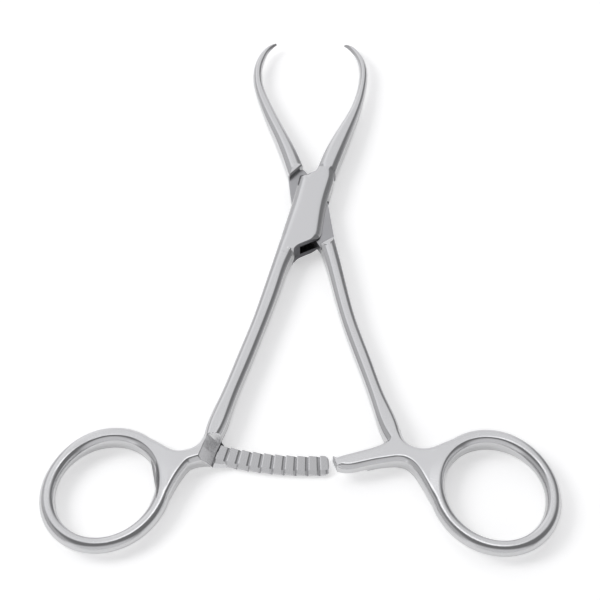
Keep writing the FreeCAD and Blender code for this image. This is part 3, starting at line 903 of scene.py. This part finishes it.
def build_floor(settings):
    """Large pale sheet that the instrument lies on. Seen or mirrored, part of its white is its own, which
    keeps the shadow soft; its light on other things comes from the lamps alone."""
    reach = FLOOR_REACH * MM
    mesh = bpy.data.meshes.new("studio_floor")
    low = CAD_LOW.z - FLOOR_GAP * MM
    mesh.from_pydata([(-reach, -reach, low), (reach, -reach, low), (reach, reach, low), (-reach, reach, low)],
                     [], [(0, 1, 2, 3)])
    floor = bpy.data.objects.new("studio_floor", mesh)
    bpy.context.scene.collection.objects.link(floor)
    material = bpy.data.materials.new("matt_white_paper")
    material.use_nodes = True
    tree = material.node_tree
    tree.nodes.clear()
    colour = linear_colour(settings.floor_colour)
    paper = add_node(tree, "ShaderNodeBsdfDiffuse", {"Color": colour})
    ray = add_node(tree, "ShaderNodeLightPath")
    seen = combine(tree, "MAXIMUM", ray.outputs["Is Camera Ray"], ray.outputs["Is Glossy Ray"])
    seen = combine(tree, "MAXIMUM", seen, ray.outputs["Is Transmission Ray"])
    strength = combine(tree, "MULTIPLY", seen, settings.floor_glow)
    glow = add_node(tree, "ShaderNodeEmission", {"Color": colour}, {"Strength": strength})
    both = add_node(tree, "ShaderNodeAddShader")
    tree.links.new(paper.outputs[0], both.inputs[0])
    tree.links.new(glow.outputs[0], both.inputs[1])
    add_node(tree, "ShaderNodeOutputMaterial", None, {"Surface": both.outputs[0]})
    floor.data.materials.append(material)


def smooth_step(tree, value, low, high, start, end):
    """Node that eases from low to high while the value goes from start to end."""
    settings = {"interpolation_type": "SMOOTHSTEP", "From Min": start, "From Max": end, "To Min": low,
                "To Max": high}
    node = add_node(tree, "ShaderNodeMapRange", settings, {"Value": value})
    return node.outputs["Result"]


def combine(tree, operation, first, second):
    """Node that joins two values, such as by their sum, product or maximum; either may be a number."""
    node = add_node(tree, "ShaderNodeMath", {"operation": operation})
    for socket, value in zip(node.inputs, (first, second)):
        if isinstance(value, (int, float)):
            socket.default_value = value
        else:
            tree.links.new(value, socket)
    return node.outputs[0]


def build_world(scene):
    """Studio tent as brightness by direction. All of it is a dark grey. A pale wall stands behind the
    object: dim at the far left, brightest just left of the middle, nearly dark at the right. A small
    softbox hangs high at the back, and dim panels stand at the front left, in front and at the far right."""
    world = bpy.data.worlds.new("studio_tent")
    world.use_nodes = True
    tree = world.node_tree
    tree.nodes.clear()
    place = add_node(tree, "ShaderNodeTexCoord")
    axes = add_node(tree, "ShaderNodeSeparateXYZ", None, {"Vector": place.outputs["Generated"]})
    x, y, z = (axes.outputs[name] for name in "XYZ")
    back_wall = smooth_step(tree, y, 0.0, 0.77, 0.2, 0.42)
    left_edge = smooth_step(tree, x, 0.62, 1.26, -0.62, -0.44)
    middle = smooth_step(tree, x, 0.0, -0.26, -0.28, -0.08)
    right_edge = smooth_step(tree, x, 0.0, -0.95, 0.18, 0.62)
    sides = combine(tree, "ADD", combine(tree, "ADD", left_edge, middle), right_edge)
    height, outer, inner = (math.radians(angle) for angle in TENT_SOFTBOX[:3])
    softbox_middle = add_node(tree, "ShaderNodeVectorMath", {"operation": "DOT_PRODUCT"})
    tree.links.new(place.outputs["Generated"], softbox_middle.inputs[0])
    softbox_middle.inputs[1].default_value = (0.0, math.cos(height), math.sin(height))
    softbox = smooth_step(tree, softbox_middle.outputs["Value"], 0.0, TENT_SOFTBOX[3], math.cos(outer),
                          math.cos(inner))
    left_side = combine(tree, "MULTIPLY", smooth_step(tree, x, 0.4, 0.0, -0.75, -0.45),
                        smooth_step(tree, y, 1.0, 0.0, 0.15, 0.45))
    front_strip = smooth_step(tree, y, 0.6, 0.0, -0.8, -0.5)
    right_strip = combine(tree, "MULTIPLY", smooth_step(tree, z, 0.6, 0.0, 0.1, 0.45),
                          smooth_step(tree, x, 0.0, 1.0, 0.72, 0.9))
    total = combine(tree, "ADD", TENT_GREY, combine(tree, "MULTIPLY", back_wall, sides))
    for panel in (softbox, left_side, front_strip, right_strip):
        total = combine(tree, "ADD", total, panel)
    surroundings = add_node(tree, "ShaderNodeBackground", {"Color": linear_colour("#fdfdff")},
                            {"Strength": total})
    add_node(tree, "ShaderNodeOutputWorld", None, {"Surface": surroundings.outputs["Background"]})
    scene.world = world


def build_lamp(scene, settings):
    """One large softbox to the left, which throws the soft shadow to the right. The steel mirrors the tent
    and not this lamp."""
    centre = Vector((CAMERA_TARGET[0] * MM, CAMERA_TARGET[1] * MM, 0))
    lamp = bpy.data.lights.new("softbox_left", "AREA")
    lamp.shape = "SQUARE"
    lamp.size = LAMP_SIZE
    lamp.energy = settings.key_power
    holder = bpy.data.objects.new("softbox_left", lamp)
    holder.visible_glossy = False
    scene.collection.objects.link(holder)
    place = centre + Vector(LAMP_DIRECTION).normalized() * LAMP_DISTANCE
    turn = (centre - place).to_track_quat("-Z", "Y").to_matrix().to_4x4()
    holder.matrix_world = Matrix.Translation(place) @ turn


def build_camera(scene):
    """Camera at the photograph's angle."""
    camera = bpy.data.cameras.new("photograph_camera")
    camera.lens = CAMERA_LENS
    camera.sensor_width = SENSOR_WIDTH
    camera.clip_start = CAMERA_CLIP[0]
    camera.clip_end = CAMERA_CLIP[1]
    holder = bpy.data.objects.new("photograph_camera", camera)
    scene.collection.objects.link(holder)
    tilt, azimuth, roll = (math.radians(value) for value in (CAMERA_TILT, CAMERA_AZIMUTH, CAMERA_ROLL))
    back = Vector((math.sin(azimuth) * math.sin(tilt), -math.cos(azimuth) * math.sin(tilt), math.cos(tilt)))
    level = Vector((math.cos(azimuth), math.sin(azimuth), 0))
    up = back.cross(level)
    right = level * math.cos(roll) + up * math.sin(roll)
    up = up * math.cos(roll) - level * math.sin(roll)
    target = Vector((CAMERA_TARGET[0], CAMERA_TARGET[1], MIDDLE)) * MM
    place = target + back * CAMERA_DISTANCE * MM
    turn = Matrix((right, up, back)).transposed().to_4x4()
    holder.matrix_world = Matrix.Translation(place) @ turn
    scene.camera = holder


class ForcepsPanel(bpy.types.Panel):
    """Lists the steps that build the instrument and its studio"""
    bl_idname = "VIEW3D_PT_forceps"
    bl_label = "Forceps"
    bl_space_type = "VIEW_3D"
    bl_region_type = "UI"
    bl_category = "Forceps"

    def draw(self, context):
        settings = context.scene.forceps_settings
        for name in settings.bl_rna.properties.keys():
            if name not in ("rna_type", "name"):
                self.layout.prop(settings, name)
        for operator in OPERATORS:
            self.layout.operator(operator.bl_idname)


OPERATORS = (BuildFemaleArm, BuildMaleArm, BuildPivotPin, BuildStudio)
CLASSES = (ForcepsSettings,) + OPERATORS + (ForcepsPanel,)


def register():
    for kind in CLASSES:
        bpy.utils.register_class(kind)
    bpy.types.Scene.forceps_settings = bpy.props.PointerProperty(type=ForcepsSettings)


def unregister():
    del bpy.types.Scene.forceps_settings
    for kind in reversed(CLASSES):
        bpy.utils.unregister_class(kind)


def main():
    """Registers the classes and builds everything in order."""
    register()
    bpy.ops.forceps.build_female_arm()
    bpy.ops.forceps.build_male_arm()
    bpy.ops.forceps.build_pivot_pin()
    bpy.ops.forceps.build_studio()


if __name__ == "__main__":
    main()
